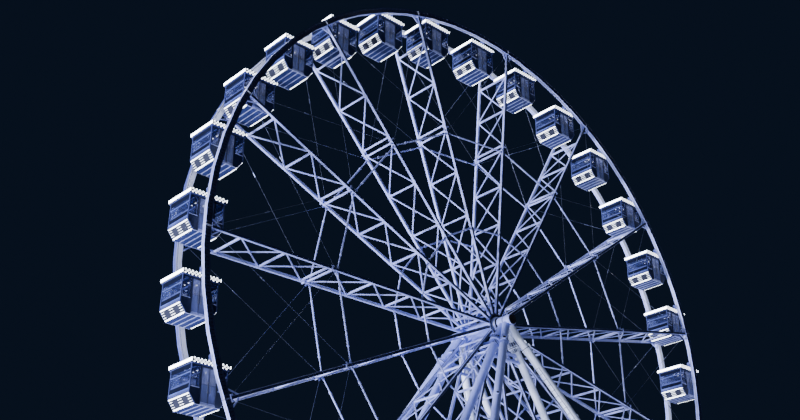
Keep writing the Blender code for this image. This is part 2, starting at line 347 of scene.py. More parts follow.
def make_finishes():
    finish("steel_paint", (0.45, 0.50, 0.97), (0.32, 0.37, 0.86), 0.36, coat=0.2)
    finish("rim_edge", (0.45, 0.50, 0.97), (0.35, 0.39, 0.88), 0.40, coat=0.2)
    # painted shade: the rear rim's outer edge is a darker copy of the front rim's edge
    finish("rear_rim_edge", (0.12, 0.145, 0.45), (0.085, 0.105, 0.35), 0.40, coat=0.2)
    # painted light: the rims' faces toward the cabins are paler than the steel and glow faintly, standing in
    # for the light of the lamp bands
    glow = finish("rim_lit", (0.80, 0.84, 1.0), (0.66, 0.70, 0.94), 0.40, coat=0.2)
    shader = glow.node_tree.nodes["Principled BSDF"]
    shader.inputs["Emission Color"].default_value = (0.62, 0.68, 1.0, 1.0)
    shader.inputs["Emission Strength"].default_value = 0.45
    # painted light: the left legs are painted bluer and darker and the right legs whiter and lighter, as if
    # each side stood in a floodlight of its own colour
    finish("left_leg_paint", (0.36, 0.42, 0.92), (0.26, 0.31, 0.80), 0.36, coat=0.3)
    finish("right_leg_paint", (0.72, 0.78, 0.98), (0.59, 0.65, 0.88), 0.36, coat=0.3)
    finish("head_paint", (0.33, 0.38, 0.88), (0.23, 0.28, 0.74), 0.40, coat=0.2)
    finish("shell", (0.52, 0.57, 0.97), (0.39, 0.44, 0.86), 0.28, patch=1.2, coat=0.5)
    finish("navy", (0.008, 0.016, 0.056), (0.004, 0.009, 0.032), 0.42, patch=1.0, bump=0.05)
    finish("seam", (0.14, 0.16, 0.30), (0.08, 0.09, 0.20), 0.60)
    finish("smoked", (0.030, 0.018, 0.028), (0.015, 0.010, 0.018), 0.22, patch=3.0)
    finish("soffit", (0.060, 0.078, 0.25), (0.036, 0.048, 0.17), 0.50, patch=1.5)
    finish("trim", (0.11, 0.15, 0.46), (0.065, 0.095, 0.32), 0.40, patch=1.5)
    finish("dusk", (0.009, 0.012, 0.040), (0.005, 0.008, 0.026), 0.80, patch=3.0)
    backing = finish("backing", (0.003, 0.006, 0.024), (0.002, 0.003, 0.013), 0.90, patch=3.0)
    backing.node_tree.nodes["Principled BSDF"].inputs["Specular IOR Level"].default_value = 0.1
    finish("cable", (0.22, 0.25, 0.40), (0.13, 0.15, 0.25), 0.30, metallic=0.85, patch=3.0)
    finish("floor_panel", (0.026, 0.040, 0.165), (0.016, 0.025, 0.115), 0.45, patch=2.0)
    finish("seat", (0.070, 0.090, 0.27), (0.042, 0.056, 0.19), 0.45, patch=2.5, grain=120.0)
    finish("bolt_zinc", (0.50, 0.52, 0.58), (0.36, 0.38, 0.44), 0.32, metallic=0.8, patch=8.0)
    finish("black", (0.012, 0.012, 0.016), (0.006, 0.006, 0.009), 0.35, patch=2.0)
    finish("base_grey", (0.42, 0.44, 0.52), (0.28, 0.30, 0.37), 0.55, bump=0.15)
    finish("tread", (0.22, 0.23, 0.28), (0.14, 0.15, 0.19), 0.50, metallic=0.3, grain=90.0, bump=0.3)
    lamp_finish("lamp_band", (0.96, 0.98, 1.0), (0.88, 0.93, 1.0), 12.0)
    lamp_finish("lamp", (0.96, 0.98, 1.0), (0.82, 0.88, 1.0), 7.0)
    lamp_finish("dash", (0.90, 0.93, 1.0), (0.78, 0.84, 1.0), 1.5)
    lamp_finish("bead", (0.20, 0.23, 0.46), (0.10, 0.12, 0.30), 0.04)
    glass_finish("glass", (0.085, 0.115, 0.36), 0.04, 0.80, 0.55)
    glass_finish("door_glass", (0.50, 0.55, 0.92), 0.14, 0.40, 0.60)
    glass_finish("low_glass", (0.24, 0.29, 0.62), 0.20, 0.30, 0.80)


# shapes

def square_to(axis):
    """Two directions square to the axis and to each other."""
    axis = Vector(axis).normalized()
    hint = Y if abs(axis.y) < 0.9 else Z
    first = (hint - axis * hint.dot(axis)).normalized()
    return first, axis.cross(first)


def circle(centre, axis, radius, sides):
    first, second = square_to(axis)
    ring = []
    for k in range(sides):
        a = 2 * math.pi * k / sides
        ring.append(Vector(centre) + first * (radius * math.cos(a)) + second * (radius * math.sin(a)))
    return ring


class Shape:
    """The points and faces of one piece; every face has the name of its finish."""

    def __init__(self):
        self.points = []
        self.faces = []
        self.finishes = []

    def skin(self, rings, look, closed=False):
        """Join rings of equally many points; look is a name, or a function of ring and side."""
        pick = look if callable(look) else (lambda row, side: look)
        start = len(self.points)
        count = len(rings[0])
        for ring in rings:
            self.points.extend(Vector(p) for p in ring)
        for row in range(len(rings) if closed else len(rings) - 1):
            low = start + row * count
            high = start + (row + 1) % len(rings) * count
            for k in range(count):
                n = (k + 1) % count
                self.faces.append((low + k, low + n, high + n, high + k))
                self.finishes.append(pick(row, k))
        if not closed:
            for row in (0, len(rings) - 1):
                first = start + row * count
                self.faces.append(tuple(range(first, first + count)))
                self.finishes.append(pick(max(0, row - 1), 0))

    def beam(self, start, end, wide, deep, look, up=Z, cut=0.008):
        """A straight bar with cut corners; deep is along up."""
        start = Vector(start)
        end = Vector(end)
        along = (end - start).normalized()
        side = up.cross(along).normalized()
        top = along.cross(side)
        w = wide / 2
        d = deep / 2
        c = min(cut, w / 3, d / 3)
        section = ((-w, c - d), (c - w, -d), (w - c, -d), (w, c - d),
                   (w, d - c), (w - c, d), (c - w, d), (-w, d - c))
        self.skin([[p + side * a + top * b for a, b in section] for p in (start, end)], look)

    def box(self, corner, opposite, look, cut=0.006):
        """A block between two opposite corners, given in any order."""
        low = Vector(min(pair) for pair in zip(corner, opposite))
        high = Vector(max(pair) for pair in zip(corner, opposite))
        mid = (low + high) / 2
        size = high - low
        self.beam((low.x, mid.y, mid.z), (high.x, mid.y, mid.z), size.y, size.z, look, Z, cut)

    def turned(self, centre, axis, profile, sides, look):
        """Circles of (distance, radius) along the axis; look may be a list with a name for each span."""
        axis = Vector(axis).normalized()
        rings = [circle(Vector(centre) + axis * d, axis, r, sides) for d, r in profile]
        if isinstance(look, (list, tuple)):
            self.skin(rings, lambda row, side: look[min(row, len(look) - 1)])
        else:
            self.skin(rings, look)

    def tube(self, start, end, radius, look, sides=10):
        start = Vector(start)
        axis = Vector(end) - start
        self.turned(start, axis, ((0, radius), (axis.length, radius)), sides, look)

    def capsule(self, start, end, radius, look, sides=6):
        start = Vector(start)
        axis = Vector(end) - start
        bevel = radius * 0.6
        profile = ((0, radius * 0.5), (bevel, radius),
                   (axis.length - bevel, radius), (axis.length, radius * 0.5))
        self.turned(start, axis, profile, sides, look)

    def bolt(self, centre, axis, radius=0.016, height=0.014, look="bolt_zinc"):
        self.turned(centre, axis, ((0, radius), (height, radius)), 6, look)

    def lens(self, centre, axis, radius, height, look):
        self.turned(centre, axis, ((0, radius), (height, radius * 0.62)), 6, look)

    def plate(self, outline, shift, look):
        """A flat outline made thick by the shift, half to each side."""
        half = Vector(shift) / 2
        self.skin([[Vector(p) + half * s for p in outline] for s in (-1, 1)], look)

    def make(self, name):
        """The finished mesh, its faces pointing out and its hard edges kept."""
        names = sorted(set(self.finishes))
        data = bpy.data.meshes.new(name)
        data.from_pydata(self.points, [], self.faces)
        for look in names:
            data.materials.append(MATERIALS[look])
        order = {look: k for k, look in enumerate(names)}
        data.polygons.foreach_set("material_index", [order[look] for look in self.finishes])
        edit = bmesh.new()
        edit.from_mesh(data)
        bmesh.ops.recalc_face_normals(edit, faces=edit.faces)
        edit.to_mesh(data)
        edit.free()
        data.shade_smooth()
        data.set_sharp_from_angle(angle=math.radians(32.0))
        return data


def show(name, piece, body, replaced=(), place=None):
    """Put a shape, or a mesh that many pieces share, in the scene as a piece that rides on a body."""
    data = piece.make(name) if isinstance(piece, Shape) else piece
    obj = bpy.data.objects.new(name, data)
    bpy.context.scene.collection.objects.link(obj)
    if place is not None:
        obj.matrix_world = place
    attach(obj, body)
    if replaced:
        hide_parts(*replaced)


# wheel

def spoke_angle(k):
    return FIRST_SPOKE + k * SPOKE_STEP


def chord_y(radius):
    """The chords stand further apart at the rim than at the hub."""
    share = (radius - HUB_FLANGE_R) / (RIM_IN - HUB_FLANGE_R)
    return CHORD_Y_HUB + (CHORD_Y_RIM - CHORD_Y_HUB) * share


def around(angle, radius, y, along=0.0):
    """A point of the wheel: along is measured round the wheel from the angle's own line."""
    out = Vector((math.cos(angle), 0.0, math.sin(angle)))
    onward = Vector((-math.sin(angle), 0.0, math.cos(angle)))
    return HUB + out * radius + onward * along + Y * y


def strut_radii():
    """Struts from the rim inwards, doubled where the spoke is spliced."""
    radii = []
    radius = RIM_IN - FIRST_STRUT_INSET
    steps = [BAY] * OUTER_BAYS + [SPLICE_GAP]
    while radius > HUB_FLANGE_R + LAST_STRUT_FROM_HUB:
        radii.append(radius)
        radius -= steps.pop(0) if steps else BAY
    return radii


def flange_pair(work, at, y):
    """Two bolted plates across a chord, seen edge-on from the side, with a dark seam between them."""
    half = SPLICE_HALF
    core = half * 0.94
    for s in (-1, 1):
        face = at + s * SPLICE_PLATE
        work.box((at + s * SPLICE_SEAM, y - half, -half), (face, y + half, half), "steel_paint")
        for a in (-1, 1):
            for b in (-1, 1):
                work.bolt((face, y + a * half * 0.76, b * half * 0.76), (s, 0, 0), 0.017, 0.018)
    work.box((at - SPLICE_SEAM, y - core, -core), (at + SPLICE_SEAM, y + core, core), "seam")


def gusset(work, radius, side):
    """A web plate where a strut and its diagonals meet the chord."""
    inner = side * (chord_y(radius) - CHORD / 2)
    deep = side * GUSSET_DEPTH
    outline = [(radius + along, inner - deep * share, 0) for along, share in GUSSET]
    work.plate(outline, (0, 0, GUSSET_T), "steel_paint")
    for shift in (-0.10, 0.0, 0.10):
        lift = STRUT / 2 if shift == 0 else GUSSET_T / 2
        for s in (-1, 1):
            work.bolt((radius + shift, inner - deep * 0.25, s * lift), (0, 0, s), 0.014, 0.012)


def spoke_chord(work, side, radii):
    """One of the spoke's two chords, with its lamp strip, cable duct, splice, end plate and knees."""
    start = Vector((HUB_FLANGE_R, side * chord_y(HUB_FLANGE_R), 0))
    end = Vector((RIM_IN, side * chord_y(RIM_IN), 0))
    work.beam(start, end, CHORD, CHORD, "steel_paint", cut=0.014)
    face = Y * side * (CHORD / 2 + STRIP_T / 2)
    work.beam(start + face, end + face, STRIP_T, STRIP_W, "navy", cut=0.002)
    for k in range(int((RIM_IN - HUB_FLANGE_R - LAMPLESS) / LAMP_SPACING)):
        radius = HUB_FLANGE_R + FIRST_LAMP + k * LAMP_SPACING
        y = side * (chord_y(radius) + CHORD / 2 + STRIP_T)
        work.lens((radius, y, 0.0), (0, side, 0), LAMP_R * 0.7, LAMP_H, "bead")
    duct = Vector((0, -side * 0.02, -CHORD / 2 - 0.015))
    work.tube(start + duct, end + duct, DUCT_R, "seam", 6)
    flange_pair(work, (radii[OUTER_BAYS] + radii[OUTER_BAYS + 1]) / 2, side * chord_y(radii[OUTER_BAYS]))
    y = side * chord_y(RIM_IN)
    plate = RIM_IN - END_PLATE_T
    work.box((plate, y - END_PLATE_Y, -END_PLATE_Z), (RIM_IN - 0.002, y + END_PLATE_Y, END_PLATE_Z),
             "steel_paint")
    for b in (-END_BOLT_AT, END_BOLT_AT):
        for a in (-END_BOLT_AT, END_BOLT_AT):
            work.bolt((plate, y + a, b), (-1, 0, 0), 0.018, 0.02)
    y = side * chord_y(KNEE_R)
    for s in (-1, 1):
        tip = s * KNEE_REACH
        work.beam((KNEE_R, y, s * CHORD / 3), (RIM_IN - 0.01, y, tip), KNEE, KNEE, "steel_paint", up=Y)
        shoe = (RIM_IN - 0.014, y - 0.07, tip - 0.09)
        work.box(shoe, (RIM_IN - 0.001, y + 0.07, tip + 0.09), "steel_paint")


def spoke_truss():
    """One lattice spoke along +X, from the hub's flange to the rims."""
    work = Shape()
    radii = strut_radii()
    for side in (-1, 1):
        spoke_chord(work, side, radii)
    for radius in radii:
        y = chord_y(radius) - CHORD / 2
        work.beam((radius, -y, 0), (radius, y, 0), STRUT, STRUT, "steel_paint")
        for side in (-1, 1):
            gusset(work, radius, side)
    for far, near in zip(radii, radii[1:]):
        if far - near < BAY / 2:
            continue
        for side in (-1, 1):
            z = side * DIAGONAL_DEEP / 2
            start = (near + DIAGONAL_OFFSET, side * (chord_y(near) - CHORD / 2), z)
            end = (far - DIAGONAL_OFFSET, -side * (chord_y(far) - CHORD / 2), z)
            work.beam(start, end, DIAGONAL, DIAGONAL_DEEP, "steel_paint")
        middle = (far + near) / 2
        half = CROSS_PLATE_HALF
        work.turned((middle, 0, -half), Z, ((0, CROSS_PLATE_R), (2 * half, CROSS_PLATE_R)), 8, "steel_paint")
        for s in (-1, 1):
            work.bolt((middle, 0, s * half), (0, 0, s), 0.018, 0.014)
    return work.make("spoke_truss")


def rim_section(edge):
    """Rows of radius, distance from the wheel's middle and the finish of the side that follows."""
    wide = RIM_Y_OUT - RIM_Y_IN
    row = []

    def groove(place, share, look):
        """A seam across a side of the section; place turns a way along it and a depth into a point."""
        g = RIM_GROOVE
        for shift, depth in ((-g, 0.0), (-g / 2, g), (g / 2, g), (g, 0.0)):
            row.append((*place(share * wide + shift, depth), "seam" if shift < g else look))

    row.append((RIM_IN, RIM_Y_IN, "steel_paint"))
    groove(lambda t, d: (RIM_IN + d, RIM_Y_IN + t), 0.5, "steel_paint")
    row.append((RIM_IN, RIM_Y_OUT, "navy"))
    row.append((RIM_IN + RIM_LIP, RIM_Y_OUT, "navy"))
    row.append((RIM_IN + RIM_LIP + 0.004, RIM_Y_OUT - RIM_RECESS, "navy"))
    row.append((RIM_OUT - RIM_LIP - 0.004, RIM_Y_OUT - RIM_RECESS, "navy"))
    row.append((RIM_OUT - RIM_LIP, RIM_Y_OUT, "navy"))
    row.append((RIM_OUT, RIM_Y_OUT, edge))
    groove(lambda t, d: (RIM_OUT - d, RIM_Y_OUT - t), 0.5, edge)
    # the face toward the cabins is pale and glows faintly: painted light
    row.append((RIM_OUT, RIM_Y_IN, "rim_lit"))
    groove(lambda t, d: (RIM_OUT - t, RIM_Y_IN + d), 0.30, "rim_lit")
    return row


def rim_ring(side):
    """One rim: fifteen welded box arcs bolted together at the spokes."""
    work = Shape()
    # the rear rim's outer edge takes the darker copy: painted shade
    edge = "rim_edge" if side < 0 else "rear_rim_edge"
    section = rim_section(edge)
    looks = [look for r, y, look in section]
    corner = 1 / math.cos(FACET / 2)
    for k in range(SPOKES):
        a = spoke_angle(k)
        rings = [[around(a, r, side * y, JOINT_HALF) for r, y, look in section]]
        for n in range(FACETS_PER_SPOKE):
            rings.append([around(a + (n + 0.5) * FACET, r * corner, side * y) for r, y, look in section])
        rings.append([around(a + SPOKE_STEP, r, side * y, -JOINT_HALF) for r, y, look in section])
        work.skin(rings, lambda row, s: looks[s])
        rim_joint(work, a, side, edge)
    return work


def rim_joint(work, a, side, edge):
    """The packing between two arcs, with a bolted plate on each arc's end."""
    def block(r0, r1, y0, y1, s0, s1, looks):
        ring = ((r0, y0), (r1, y0), (r1, y1), (r0, y1))
        work.skin([[around(a, r, side * y, s) for r, y in ring] for s in (s0, s1)], lambda row, n: looks[n])

    block(RIM_IN + JOINT_INSET, RIM_OUT - JOINT_INSET, RIM_Y_IN + JOINT_INSET, RIM_Y_OUT - JOINT_INSET,
          -JOINT_HALF, JOINT_HALF, ["seam"] * 4)
    for s in (-1, 1):
        near, far = sorted((s * (JOINT_HALF - JOINT_PLATE), s * JOINT_HALF))
        # the joint plates carry the rims' painted glow toward the cabins and the rear rim's painted shade on
        # its outer edge
        block(RIM_IN - 0.010, RIM_OUT + 0.010, RIM_Y_IN, RIM_Y_OUT - 0.002, near, far,
              ["rim_lit", edge, "navy", "steel_paint"])
        for r in (RIM_IN + 0.02, RIM_OUT - 0.02):
            for y in (RIM_Y_IN + 0.03, RIM_Y_OUT - 0.02):
                spot = around(a, r, side * y, s * (JOINT_HALF - JOINT_PLATE))
                work.bolt(spot, around(a, 1, 0, -s) - around(a, 1, 0), 0.012, 0.010)


def rim_lamps(side):
    """Lamp beads near the outer edge of the dark channel, with a row of thin smoked bars under them."""
    work = Shape()
    length = 2 * RIM_OUT * math.tan(FACET / 2)
    beads = int(length / LAMP_SPACING)
    bed = side * (RIM_Y_OUT - RIM_RECESS)
    for k in range(FACETS):
        a = FIRST_SPOKE + k * FACET
        for n in range(beads):
            t = (n + 0.5 - beads / 2) * length / beads
            work.lens(around(a, LAMP_ROW_R, bed, t), (0, side, 0), LAMP_R, LAMP_H, "bead")
            for shift in (-LAMP_SPACING / 4, LAMP_SPACING / 4):
                if k % FACETS_PER_SPOKE == 0 and abs(t + shift) < JOINT_HALF:
                    continue
                y = bed + side * BAR_T / 2
                low = around(a, RIM_IN + 0.06, y, t + shift)
                high = around(a, LAMP_ROW_R - 0.05, y, t + shift)
                work.beam(low, high, BAR_W, BAR_T, "smoked", up=Y, cut=0.002)
    return work


def pivot_blocks(side):
    """The bearing at each cabin's pivot, on the rim's inner face, and its cap outside."""
    work = Shape()
    outside = Vector((0, side, 0))
    bearing = ((0, BEARING_R), (0.012, BEARING_R), (0.014, 0.085), (0.030, 0.075))
    for name in CABINS:
        at = PIVOTS[name]
        face = Vector((at.x, side * RIM_Y_IN, at.z))
        work.turned(face, -outside, bearing, 16, "head_paint")
        for k in range(4):
            t = (k + 0.5) * math.pi / 2
            spot = face + Vector((math.cos(t), 0, math.sin(t))) * (BEARING_R - 0.017)
            work.bolt(spot, -outside, 0.010, 0.018)
        cap = Vector((at.x, side * (RIM_Y_OUT - RIM_RECESS), at.z))
        work.turned(cap, outside, ((0, 0.075), (0.010, 0.070), (0.014, 0.045)), 14, "navy")
    return work


def ties(side):
    """Round spreader tubes between neighbouring spokes, stepped down to a forked end."""
    work = Shape()
    for radius in TIE_RADII:
        y = side * chord_y(radius)
        for k in range(SPOKES):
            start = around(spoke_angle(k), radius, y, CHORD / 2)
            end = around(spoke_angle(k + 1), radius, y, -CHORD / 2)
            along = end - start
            length = along.length
            step = length * TIE_STEP_AT
            collar = TIE_R + TIE_COLLAR
            half = [(0.10, TIE_END_R), (step, TIE_END_R), (step + 0.02, collar), (step + 0.12, collar),
                    (step + 0.14, TIE_R)]
            work.turned(start, along, half + [(length - d, r) for d, r in reversed(half)], 10, "steel_paint")
            for spot, sign in ((start, 1), (end, -1)):
                way = along.normalized() * sign
                work.beam(spot, spot + way * FORK_L, 0.018, 0.13, "steel_paint", up=way.cross(Y))
                for s in (-1, 1):
                    work.bolt(spot + way * (FORK_L / 2) + Y * (s * 0.009), (0, s, 0), 0.022, 0.022)
    return work


def rods(side):
    """Crossed tension rods from each spoke's rim end to its neighbour's tie, with a turnbuckle each."""
    work = Shape()
    for k in range(SPOKES):
        for step in (-1, 1):
            outer_y = side * (CHORD_Y_RIM - ROD_APART * step)
            inner_y = side * (chord_y(ROD_INNER) - ROD_APART * step)
            start = around(spoke_angle(k), ROD_OUTER, outer_y, step * CHORD / 2)
            end = around(spoke_angle(k + step), ROD_INNER, inner_y, -step * CHORD / 2)
            along = (end - start).normalized()
            work.tube(start, end, ROD_R, "cable", 6)
            middle = start + (end - start) * TURNBUCKLE_AT
            half = along * TURNBUCKLE_HALF
            work.capsule(middle - half, middle + half, TURNBUCKLE_R, "cable", 8)
            for spot, sign in ((start, 1), (end, -1)):
                work.beam(spot, spot + along * (0.14 * sign), 0.016, 0.08, "steel_paint", up=along.cross(Y))
    return work


def hub_ring(y, flat, faceted):
    """A ring round the axle; a faceted one keeps one flat for each spoke."""
    ring = []
    for k in range(FACETS):
        off = (k % FACETS_PER_SPOKE) * FACET
        off = min(off, SPOKE_STEP - off)
        ring.append(around(FIRST_SPOKE + k * FACET, flat / math.cos(off) if faceted else flat, y))
    return ring


def hub_drum():
    """The hub's tube with a flange ring at each side, ribs between the spokes and a lip at each end."""
    work = Shape()
    edge = HUB_EDGE
    low = CHORD_Y_HUB - HUB_FLANGE_T / 2
    high = CHORD_Y_HUB + HUB_FLANGE_T / 2
    # painted shade: the flange's recess and its outer face round it are navy, and so is the hub's end face
    half = [(HUB_END, HUB_BORE, 0, "navy"), (HUB_END, HUB_TUBE_R - edge, 0, "head_paint"),
            (HUB_END - edge, HUB_TUBE_R, 0, "head_paint"), (high - HUB_RECESS, HUB_TUBE_R, 0, "navy"),
            (high - HUB_RECESS, HUB_RECESS_R, 0, "navy"), (high, HUB_RECESS_R, 0, "navy"),
            (high, HUB_FLANGE_R - edge, 1, "head_paint"), (high - edge, HUB_FLANGE_R, 1, "head_paint"),
            (low + edge, HUB_FLANGE_R, 1, "head_paint"), (low, HUB_FLANGE_R - edge, 1, "head_paint"),
            (low, HUB_TUBE_R + 0.02, 0, "head_paint"), (low - 0.05, HUB_TUBE_R, 0, "head_paint")]
    rows = [(-y, r, faceted, look) for y, r, faceted, look in half] + half[::-1]
    rings = [hub_ring(y, r, faceted) for y, r, faceted, look in rows]
    work.skin(rings, lambda row, side: rows[row % len(rows)][3], closed=True)
    for k in range(SPOKES):
        a = spoke_angle(k)
        middle = a + SPOKE_STEP / 2
        for side in (-1, 1):
            for s in (-1, 1):
                work.bolt(around(a, 0.55, side * high, s * 0.07), (0, side, 0), 0.020, 0.020)
            outline = [around(middle, r, side * y) for r, y in
                       ((HUB_TUBE_R, low), (HUB_FLANGE_R - 0.03, low), (HUB_TUBE_R, low - 0.34))]
            work.plate(outline, around(middle, 1, 0, 0.018) - around(middle, 1, 0), "head_paint")
    r = HUB_TUBE_R
    lip = ((0.0, r - 0.004), (0.025, r - 0.004), (0.080, r - 0.060), (0.080, r - 0.085),
           (0.020, r - 0.090), (0.020, HUB_BORE + 0.02))
    for side in (-1, 1):
        spot = HUB + Y * (side * HUB_END)
        # painted light and shade: the lip's outside is in the paler cabin finish, lighter than the hub, and
        # its inside is navy
        work.turned(spot, (0, side, 0), lip, 40, ["shell", "shell", "shell", "navy", "navy"])
    return work


# fixed support

def leg_axis(side_x, side_y, arm_y, foot_y):
    """The point on the axle, the point on the floor and the way down between them."""
    top = Vector((0.0, side_y * arm_y, HUB.z))
    foot = Vector((side_x * FOOT_X, side_y * foot_y, 0.0))
    return top, foot, (foot - top).normalized()


def ribs(work, centre, axis, count, inner, outer, length, look):
    """Triangular plates standing round a tube on its flange."""
    first, second = square_to(axis)
    for k in range(count):
        a = 2 * math.pi * (k + 0.5) / count
        out = first * math.cos(a) + second * math.sin(a)
        outline = (centre + out * inner, centre + out * outer, centre + out * (inner + 0.02) + axis * length,
                   centre + out * inner * 0.98 + axis * length)
        work.plate(outline, axis.cross(out) * 0.020, look)


def ring_of_bolts(work, centre, axis, count, radius, size=0.022, height=0.026):
    for spot in circle(centre, axis, radius, count):
        work.bolt(spot, axis, size, height)


def heads():
    """The axle, a bearing head at each end and the stub arms that the legs bolt to."""
    work = Shape()
    axle_r = HUB_BORE - 0.002
    # the axle is navy: painted shade in the gap between the hub and each head
    work.turned(HUB - Y * HEAD_Y, Y, ((0, axle_r), (2 * HEAD_Y, axle_r)), 40, "navy")
    r = HEAD_R
    end = HEAD_L + AXLE_END_L
    groove = HEAD_GROOVE
    profile = ((0, HUB_BORE), (0, r - 0.02), (0.02, r), (groove - 0.025, r), (groove - 0.02, r - 0.03),
               (groove + 0.02, r - 0.03), (groove + 0.025, r), (HEAD_L - 0.015, r), (HEAD_L, r - 0.015),
               (HEAD_L, AXLE_END_R), (end - 0.01, AXLE_END_R), (end, AXLE_END_R - 0.01), (end, 0.13),
               (end - 0.012, 0.12), (end - 0.012, 0.03))
    # navy on the head's inner face and in its groove is painted shade
    looks = ["navy", "head_paint", "head_paint"] + ["navy"] * 3 + ["head_paint"] * 3 + ["black"] * 5
    for side in (-1, 1):
        out = Vector((0, side, 0))
        start = HUB + out * HEAD_Y
        work.turned(start, out, profile, 44, looks)
        # these bolts are flush with the axle's end
        ring_of_bolts(work, start + out * end, out, 8, 0.19, 0.014, 0.0)
        for side_x in (-1, 1):
            for row, *leg in LEG_ROWS:
                arm(work, side_x, side, *leg)
    return work


def arm(work, side_x, side_y, arm_y, foot_y, arm_l, flange_r):
    """A stub arm: an inner one has ribs and bolts at its flange, an outer one a pin boss and two lugs."""
    top, foot, axis = leg_axis(side_x, side_y, arm_y, foot_y)
    inner = arm_l == INNER_ARM_L
    # a right arm takes the right legs' whiter colour with painted light
    look = "head_paint" if side_x < 0 else "right_leg_paint"
    # on an inner arm the tube between the ribs is navy: painted shade in the gaps between the ribs
    neck = "navy" if inner else look
    back = arm_l - ARM_FLANGE_T
    seat = arm_l - ARM_FLANGE_T / 3
    profile = ((0.12, ARM_R), (arm_l - 0.30, ARM_R), (arm_l - 0.28, ARM_R + 0.008), (back, ARM_R + 0.008),
               (back, flange_r - 0.008), (back + 0.008, flange_r), (seat, flange_r),
               (seat, flange_r - 0.025), (arm_l - 0.001, flange_r - 0.025))
    work.turned(top, axis, profile, 32, [look, look, neck, look, look, look, "navy", "navy"])
    if inner:
        flange = top + axis * back
        ribs(work, flange, -axis, 12, ARM_R, flange_r - 0.012, 0.22, look)
        ring_of_bolts(work, flange, -axis, 12, (ARM_R + flange_r) / 2, 0.016)
        return
    out = outward(axis, side_x, side_y)
    across = axis.cross(out)
    spot = top + axis * PIN_AT + out * (ARM_R - 0.03)
    r = PIN_R
    boss = ((0, r), (0.105, r), (0.11, r - 0.012), (0.11, r - 0.03), (0.092, r - 0.03))
    work.turned(spot, out, boss, 20, [look, look, look, "black"])
    for s in (-1, 1):
        lug = top + axis * (PIN_AT - 0.24) + out * (ARM_R - 0.045) + across * (s * 0.13)
        end = lug + axis * LUG_L
        work.beam(lug - axis * LUG_L, end, 0.045, 0.12, look, up=out)
        work.beam(end, lug + axis * (LUG_L + 0.02), 0.06, 0.10, "navy", up=out)


def outward(axis, side_x, side_y):
    """Square to the leg's axis, away from the wheel and from the middle of the support."""
    out = Vector((side_x, side_y, 0))
    return (out - axis * out.dot(axis)).normalized()


def leg_piece(side_x, side_y, arm_y, foot_y, arm_l, flange_r, look):
    """A welded tube with a ribbed top flange, a bolted joint half-way and a foot plate.

    An outer leg also has a capped hole near its top, and a right outer leg has a ladder.
    """
    work = Shape()
    top, foot, axis = leg_axis(side_x, side_y, arm_y, foot_y)
    length = (foot - top).length
    r = LEG_R
    flange = arm_l + ARM_FLANGE_T
    seat = arm_l + ARM_FLANGE_T / 3
    # on an inner leg the tube between the top ribs is navy: painted shade in the gaps between the ribs
    neck = "navy" if arm_l == INNER_ARM_L else look
    stations = [(arm_l + 0.001, flange_r - 0.025), (seat, flange_r - 0.025), (seat, flange_r),
                (flange - 0.008, flange_r), (flange, flange_r - 0.008), (flange, r),
                (flange + 0.22, r + 0.006)]
    looks = ["navy", "navy", look, look, look, neck]
    joint = length / 2
    welds = [arm_l + FIRST_WELD] + [joint + d for d in WELDS_FROM_JOINT]
    for d in sorted(welds + [joint]):
        looks.append(look)
        if d != joint:
            weld = r + 0.009
            stations += [(d - 0.022, r), (d - 0.010, weld), (d + 0.010, weld), (d + 0.022, r)]
            looks += [look] * 3
            continue
        wide = r + LEG_FLANGE
        core = r + 0.085
        stations += [(d - 0.055, r), (d - 0.055, wide), (d - 0.006, wide), (d - 0.006, core),
                     (d + 0.006, core), (d + 0.006, wide), (d + 0.055, wide), (d + 0.055, r)]
        looks += [look, look, "seam", "seam", "seam", look, look]
        for s in (-1, 1):
            spot = top + axis * (d + s * 0.055)
            ring_of_bolts(work, spot, axis * s, 16, r + 0.055)
            ribs(work, spot, axis * s, 8, r, core, 0.22, look)
    stations.append((length - 1.2, r))
    looks.append(look)
    rings = [circle(top + axis * d, axis, wide, LEG_SIDES) for d, wide in stations]
    underside = BEAM_H + 0.0005
    plate_top = underside + FOOT_PLATE_T
    centre = foot + axis * (plate_top / axis.z)
    for z, wide in ((plate_top, r), (plate_top, FOOT_PLATE_R - 0.01), (plate_top - 0.01, FOOT_PLATE_R),
                    (underside, FOOT_PLATE_R)):
        rings.append(circle((centre.x, centre.y, z), -Z, wide, LEG_SIDES))
        looks.append(look)
    work.skin(rings, lambda row, side: looks[min(row, len(looks) - 1)])
    ribs(work, top + axis * flange, axis, 18, r, flange_r - 0.012, 0.24, look)
    ring_of_bolts(work, top + axis * flange, axis, 12, (r + flange_r) / 2, 0.014)
    plate = Vector((centre.x, centre.y, plate_top))
    ring_of_bolts(work, plate, Z, 12, FOOT_PLATE_R - 0.05, 0.030, 0.05)
    ribs(work, plate, Z, 8, r - 0.03, FOOT_PLATE_R - 0.09, 0.26, look)
    if arm_l == OUTER_ARM_L:
        out = outward(axis, side_x, side_y)
        spot = top + axis * LEG_HOLE_AT + out * (r - 0.02)
        rows = ((0, 0.090), (0.035, 0.090), (0.04, 0.082), (0.04, 0.070), (0.028, 0.070))
        work.turned(spot, out, rows, 16, [look, look, look, "black"])
        if side_x > 0:
            ladder(work, top, axis, arm_l + 1.2, length - 1.6)
    return work


def ladder(work, top, axis, start, end):
    """Rungs and two rails along the leg's inner side, on a bracket at every eighth rung."""
    inward = Vector((-1, 0, 0))
    inward = (inward - axis * inward.dot(axis)).normalized()
    across = axis.cross(inward)
    rungs = []
    for k in range(int((end - start) / RUNG_PITCH) + 1):
        spot = top + axis * (start + k * RUNG_PITCH) + inward * (LEG_R + LADDER_OFF)
        rungs.append(spot)
        work.tube(spot - across * RUNG_HALF, spot + across * RUNG_HALF, 0.013, "seam", 6)
        if k % 8 == 4:
            for s in (-1, 1):
                foot = spot + across * (0.12 * s) - inward * 0.15
                work.beam(spot + across * (RUNG_HALF * s), foot, 0.03, 0.02, "seam", up=axis)
    for s in (-1, 1):
        rings = [circle(spot + across * (RUNG_HALF * s), axis, 0.018, 6) for spot in rungs]
        work.skin(rings, "seam")


